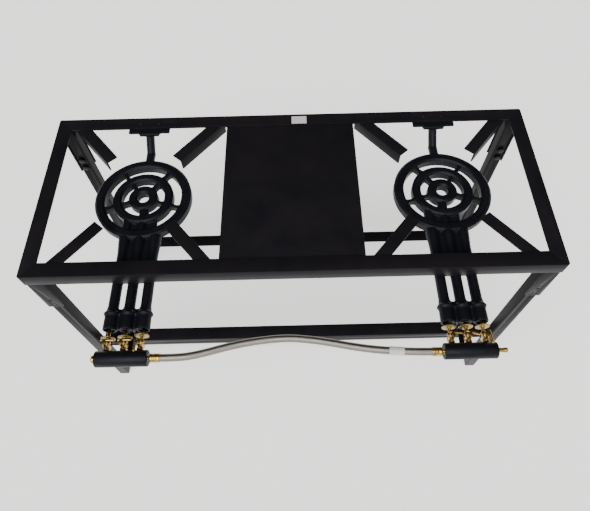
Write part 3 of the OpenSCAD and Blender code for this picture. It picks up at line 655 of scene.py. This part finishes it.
def tubeOutline(length, root):
    # (radius, distance behind the mouth) of a mixing tube: hollow collar, bead, tube, ridged flare
    shape = burnerShape
    collar, bead, tube = shape["collarWidth"] / 2, shape["beadWidth"] / 2, shape["tubeWidth"] / 2
    bore, inner, reach = shape["mouthBore"] / 2, shape["innerBore"] / 2, shape["collarLength"]
    end = shape["boreLength"]
    points = [(0, end), (inner, end), (inner, reach + 8), (bore, reach - 8),
              (bore, 1), (bore + 0.8, 0.2), (collar - 1.0, 0.2), (collar, 1.4),
              (collar - 0.4, reach - 4), (bead - 1.4, reach - 2.2),
              (bead, reach - 0.6), (bead, reach + 0.8), (bead - 1.2, reach + 2.4),
              (collar - 1.2, reach + 5), (tube + 0.6, reach + 12), (tube, reach + 16)]
    flare = root - shape["flareLength"]
    ridges = shape["flareLength"] / shape["ridgePitch"]
    steps = 60
    for k in range(steps + 1):
        part = k / steps
        swell = math.sin(math.pi * min(1.0, part * 1.08) / 2) ** 2
        ridge = shape["ridgeHeight"] * math.sin(2 * math.pi * part * ridges)
        radius = tube + (collar - 0.8 - tube) * swell + ridge * min(1, part * 5)
        points.append((radius, flare + part * (root - flare)))
    points += [(tube, root + 1), (tube, length), (0, length)]
    return [(r * mm, s * mm) for r, s in points]


def makeBurner(side, sideName):
    shape = burnerShape
    low, high = boxOf(sideName + "_manifold")
    tubeX, mouthY = (low.x + high.x) / 2, boxOf(sideName + "_burner")[0].y
    tubeZ = frameTop - shape["tubeDrop"] * mm
    centre = Vector((tubeX + side * shape["ringShift"] * mm, frameMiddle + shape["ringSetBack"] * mm,
                     frameTop + shape["ringTop"] * mm))
    bm = bmesh.new()
    for ring in range(3):
        spinProfile(bm, ringOutline(ring, shape["skin"]), centre, (0, 0, 1), 96, (1, 0, 0))
    (outer, outerIn), (middle, middleIn), (inner, _) = shape["rings"]
    lap = shape["webLap"]
    for turn in shape["webTurns"]:
        addWeb(bm, centre, turn, inner - lap, middleIn + lap)
        addWeb(bm, centre, turn, middle - lap, outerIn + lap)
    root = (centre.y - mouthY) / mm - outer + shape["rootLap"]
    reaches = [(middle + middleIn) / 2, (inner + shape["rings"][2][1]) / 2, (outer + outerIn) / 2]
    for i, reach in zip((-1, 0, 1), reaches):
        offset = i * shape["tubePitch"] - side * shape["ringShift"]
        length = (centre.y - mouthY) / mm - math.sqrt(reach ** 2 - offset ** 2)
        mouth = Vector((tubeX + i * shape["tubePitch"] * mm, mouthY, tubeZ))
        spinProfile(bm, tubeOutline(length, root), mouth, (0, 1, 0), 48, (1, 0, 0), closed=False)
    half, thick = shape["tubePitch"] * mm, shape["bridge"] * mm / 2
    addBlock(bm, (tubeX - half, frameFront + shape["bridgeFront"] * mm, tubeZ - thick),
             (tubeX + half, mouthY + (root + shape["webReach"]) * mm, tubeZ + thick))
    addBlock(bm, (tubeX - half, mouthY + 3 * mm, tubeZ - thick),
             (tubeX + half, mouthY + (shape["collarLength"] + 10) * mm, tubeZ + thick))
    addHanger(bm, side, tubeX, centre)
    lugWide, lugDrop, lugReach = shape["lug"]
    lugX = tubeX - side * shape["strapShift"] * mm
    addBlock(bm, (lugX - lugWide / 2 * mm, mouthY + 2 * mm, tubeZ - lugDrop * mm),
             (lugX + lugWide / 2 * mm, mouthY + lugReach * mm, tubeZ))
    mesh = remeshed(bm, sideName + "BurnerBody", shape["voxel"] * mm)
    casting = bmesh.new()
    casting.from_mesh(mesh)
    for _ in range(3):
        bmesh.ops.smooth_vert(casting, verts=casting.verts, factor=0.5, use_axis_x=True,
                              use_axis_y=True, use_axis_z=True)
    keepInside(casting, sideName + "_burner")
    ported = bmesh.new()
    ported.faces.layers.int.new("port")
    for ring in range(3):
        addPortedRing(ported, ring, centre)
    extra = bpy.data.meshes.new("portedRings")
    ported.to_mesh(extra)
    ported.free()
    casting.from_mesh(extra)
    finishPiece(sideName + "BurnerCasting", casting, iron,
                replacing=(sideName + "_burner",), flatAngle=40)
    print(sideName, "burner cast")


def addHanger(bm, side, tubeX, centre):
    shape = burnerShape
    railFront = frameBack - shape["railSize"] * mm
    underRail = frameTop - shape["railThick"] * mm
    stemZ = centre.z - shape["ringHeight"] / 2 * mm
    ringOuter = shape["rings"][0][0]
    kink = Vector((tubeX + side * shape["ringShift"] / 2 * mm,
                   centre.y + (ringOuter + shape["kinkReach"]) * mm,
                   stemZ + shape["kinkRise"] * mm))
    tip = Vector((tubeX, railFront - 2 * mm, underRail - shape["tipDrop"] * mm))
    radius = shape["stemWidth"] / 2 * mm
    start = Vector((centre.x, centre.y + (ringOuter - shape["stemLap"]) * mm, stemZ))
    addRod(bm, start, kink, radius)
    addRod(bm, kink, tip, radius * 0.96)
    bmesh.ops.create_icosphere(bm, subdivisions=3, radius=radius * 1.04, matrix=Matrix.Translation(kink))
    for width, front, thick, cut in (
            (shape["hangerWidth"], shape["hangerFront"], shape["hangerThick"], 0.0),
            (shape["coreWidth"], shape["coreFront"], shape["coreThick"], shape["chamfer"])):
        made = addBlock(bm, (tubeX - width / 2 * mm, frameBack - front * mm, underRail - thick * mm),
                        (tubeX + width / 2 * mm, frameBack - shape["railThick"] * mm - 1 * mm, underRail))
        for vert in made:
            if vert.co.y < railFront:
                vert.co.x -= math.copysign(cut * mm, vert.co.x - tubeX)


def remeshed(bm, name, voxel):
    # one skin round the overlapping parts, as a casting has
    mesh = bpy.data.meshes.new(name)
    bm.to_mesh(mesh)
    bm.free()
    body = bpy.data.objects.new(name, mesh)
    bpy.context.collection.objects.link(body)
    skin = body.modifiers.new("castSkin", "REMESH")
    skin.mode = "VOXEL"
    skin.voxel_size = voxel
    joined = bpy.data.meshes.new_from_object(body.evaluated_get(bpy.context.evaluated_depsgraph_get()))
    bpy.data.objects.remove(body)
    return joined


def keepInside(bm, node):
    low, high = boxOf(node)
    for vert in bm.verts:
        for axis in range(3):
            vert.co[axis] = min(max(vert.co[axis], low[axis]), high[axis])


for side, sideName in ((-1, "left"), (1, "right")):
    makeBurner(side, sideName)


# ---- rolled, turned and pressed pieces ----

edgeRadius = {"black_paint": 0.7, "cast_iron": 0.9, "brass": 0.3, "pale_brass": 0.25,
              "black_zinc_steel": 0.4}   # mm
brassAlong = {"lever": brassAlongX, "ferrule": brassAlongX, "end_plug": brassAlongX,
              "inlet_barb": brassAlongX}


def coatOf(node):
    if slotOf[node] != "brass":
        return {"black_paint": paint, "cast_iron": iron, "pale_brass": sheetBrass,
                "black_zinc_steel": boltSteel}[slotOf[node]]
    return next((coat for word, coat in brassAlong.items() if word in node), brassAlongY)


# a blank stock label stuck on the back rail's top, left of its joint with the plate
stockLabel = {"middle": 20.0, "width": 32.0, "front": 6.0, "back": 27.0}   # mm


def cutLabel(bm):
    # scored into the rail's top face, so the label lies flush
    edges = [((stockLabel["middle"] + s * stockLabel["width"] / 2) * mm, 0) for s in (-1, 1)]
    edges += [(frameBack - stockLabel[end] * mm, 1) for end in ("front", "back")]
    for place, axis in edges:
        point, normal = Vector((0, 0, 0)), Vector((0, 0, 0))
        point[axis], normal[axis] = place, 1
        top = [f for f in bm.faces
               if f.normal.z > 0.99 and f.calc_center_median().z > frameTop - 0.1 * mm]
        geometry = (top + list({e for f in top for e in f.edges})
                    + list({v for f in top for v in f.verts}))
        bmesh.ops.bisect_plane(bm, geom=geometry, plane_co=point, plane_no=normal, dist=1e-7)
    for face in bm.faces:
        middle = face.calc_center_median()
        if (face.normal.z > 0.99 and middle.z > frameTop - 0.1 * mm
                and abs(middle.x - stockLabel["middle"] * mm) < stockLabel["width"] / 2 * mm
                and stockLabel["front"] * mm < frameBack - middle.y < stockLabel["back"] * mm):
            face.material_index = 1


rebuiltNodes = {"braided_hose", "left_burner", "right_burner"}
for nodeName, slotName in slotOf.items():
    if nodeName not in rebuiltNodes:
        softenedNode(nodeName, edgeRadius[slotName] * mm, coatOf(nodeName),
                     body=bodyOf.get(nodeName, standBody))
print("pieces softened")


# ---- studio ----

studio = {
    "floor": "#f6f5f3", "floorGlow": 0.9, "sunPower": 3.0, "sunWidth": 50,      # degrees across
    "sunFrom": (-0.35, -0.95, 1.5), "floorHalf": 6.0,   # m
    "front": "#ffffff", "frontPower": 0.8, "back": "#f1f4f8", "backPower": 0.05,
}


def makeFloor():
    bm = bmesh.new()
    bmesh.ops.create_grid(bm, x_segments=1, y_segments=1, size=studio["floorHalf"])
    mesh = bpy.data.meshes.new("studioFloor")
    bm.to_mesh(mesh)
    bm.free()
    floor = bpy.data.objects.new("studioFloor", mesh)
    bpy.context.collection.objects.link(floor)
    material, tree, shader = startMaterial("studioFloor", {"Roughness": 0.85, "IOR": 1.3})
    shader.inputs["Base Color"].default_value = toLinear(studio["floor"])
    shader.inputs["Emission Color"].default_value = toLinear(studio["floor"])
    shader.inputs["Emission Strength"].default_value = studio["floorGlow"]
    mesh.materials.append(material)


def addSun():
    data = bpy.data.lights.new("softSun", "SUN")
    data.energy = studio["sunPower"]
    data.angle = math.radians(studio["sunWidth"])
    sun = bpy.data.objects.new("softSun", data)
    sun.rotation_euler = (-Vector(studio["sunFrom"])).to_track_quat("-Z", "Y").to_euler()
    bpy.context.collection.objects.link(sun)


def lightRoom():
    # a bright wall in front of the stand and a dim one behind it
    world = bpy.data.worlds.new("studioWorld")
    world.use_nodes = True
    tree = world.node_tree
    tree.nodes.clear()
    place = addNode(tree, "ShaderNodeTexCoord")
    split = addNode(tree, "ShaderNodeSeparateXYZ", links={"Vector": place.outputs["Generated"]})
    turn = addNode(tree, "ShaderNodeMapRange",
                   {"interpolation_type": "SMOOTHSTEP", "From Min": 0.15, "From Max": -0.55},
                   {"Value": split.outputs["Y"]})
    power = addNode(tree, "ShaderNodeMapRange",
                    {"To Min": studio["backPower"], "To Max": studio["frontPower"]},
                    {"Value": turn.outputs["Result"]})
    tint = addNode(tree, "ShaderNodeMix", {"data_type": "RGBA", 6: toLinear(studio["back"]),
                                           7: toLinear(studio["front"])},
                   {"Factor": turn.outputs["Result"]})
    glow = addNode(tree, "ShaderNodeBackground", links={"Color": tint.outputs[2],
                                                        "Strength": power.outputs["Result"]})
    addNode(tree, "ShaderNodeOutputWorld", links={"Surface": glow.outputs["Background"]})
    bpy.context.scene.world = world


makeFloor()
addSun()
lightRoom()
print("studio lit")
